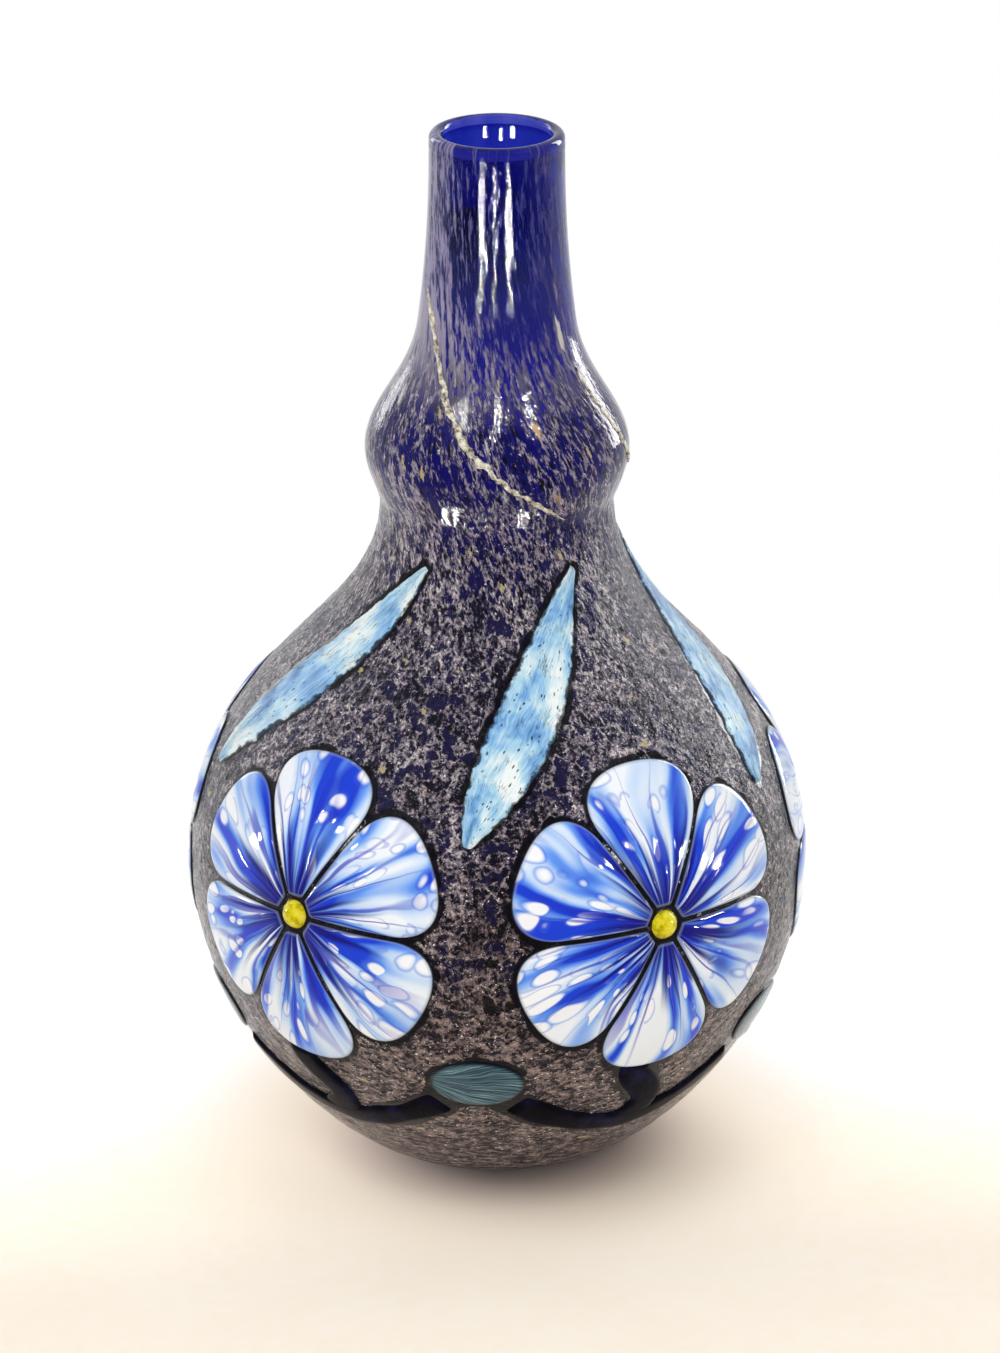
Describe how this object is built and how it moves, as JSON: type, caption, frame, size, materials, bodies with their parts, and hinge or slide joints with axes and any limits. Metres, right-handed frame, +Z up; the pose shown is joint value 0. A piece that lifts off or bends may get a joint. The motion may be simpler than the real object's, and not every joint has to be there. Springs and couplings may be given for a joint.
{
  "type": "glass bottle vase",
  "caption": "Blown glass bottle vase with a round globe, a small bulb and a slim open neck, a speckled skin, raised blue and white rosettes, light leaves and a dark festoon.",
  "frame": {"origin": "centre of the flat foot, on the surface that the vase stands on", "axes": "+Z up the vase's axis to the mouth, -Y towards the viewer of the front, +X to the right seen from the front"},
  "size_m": [0.165, 0.1657, 0.28],
  "materials": {
    "cobalt_glass": "clear deep blue blown glass, fire polished",
    "speckled_glass": "frit skin, mottled grey and lavender on dark blue, glossy and finely pitted",
    "petal_glass": "glossy white glass with blue veins",
    "bead_glass": "glossy opaque yellow glass",
    "dark_glass": "glossy near-black glass trail",
    "teal_glass": "teal-grey glass with fine combed lines",
    "leaf_glass": "pale silvery blue glass with fine lines and pits",
    "ivory_glass": "opaque ivory glass cane"
  },
  "bodies": {
    "root": {"glass_body": "cobalt_glass", "speckled_skin": "speckled_glass", "rosette_1_petal_1": "petal_glass", "rosette_1_petal_2": "petal_glass", "rosette_1_petal_3": "petal_glass", "rosette_1_petal_4": "petal_glass", "rosette_1_petal_5": "petal_glass", "rosette_1_petal_6": "petal_glass", "rosette_2_petal_1": "petal_glass", "rosette_2_petal_2": "petal_glass", "rosette_2_petal_3": "petal_glass", "rosette_2_petal_4": "petal_glass", "rosette_2_petal_5": "petal_glass", "rosette_2_petal_6": "petal_glass", "rosette_3_petal_1": "petal_glass", "rosette_3_petal_2": "petal_glass", "rosette_3_petal_3": "petal_glass", "rosette_3_petal_4": "petal_glass", "rosette_3_petal_5": "petal_glass", "rosette_3_petal_6": "petal_glass", "rosette_4_petal_1": "petal_glass", "rosette_4_petal_2": "petal_glass", "rosette_4_petal_3": "petal_glass", "rosette_4_petal_4": "petal_glass", "rosette_4_petal_5": "petal_glass", "rosette_4_petal_6": "petal_glass", "rosette_5_petal_1": "petal_glass", "rosette_5_petal_2": "petal_glass", "rosette_5_petal_3": "petal_glass", "rosette_5_petal_4": "petal_glass", "rosette_5_petal_5": "petal_glass", "rosette_5_petal_6": "petal_glass", "rosette_1_bead": "bead_glass", "rosette_2_bead": "bead_glass", "rosette_3_bead": "bead_glass", "rosette_4_bead": "bead_glass", "rosette_5_bead": "bead_glass", "stem_1": "dark_glass", "stem_2": "dark_glass", "stem_3": "dark_glass", "stem_4": "dark_glass", "stem_5": "dark_glass", "festoon_trail_1": "dark_glass", "festoon_trail_2": "dark_glass", "festoon_trail_3": "dark_glass", "festoon_trail_4": "dark_glass", "festoon_trail_5": "dark_glass", "festoon_oval_1": "teal_glass", "festoon_oval_2": "teal_glass", "festoon_oval_3": "teal_glass", "festoon_oval_4": "teal_glass", "festoon_oval_5": "teal_glass", "shoulder_leaf_1": "leaf_glass", "shoulder_leaf_2": "leaf_glass", "shoulder_leaf_3": "leaf_glass", "shoulder_leaf_4": "leaf_glass", "shoulder_leaf_5": "leaf_glass", "drawn_canes": "ivory_glass"}
  },
  "joints": []
}
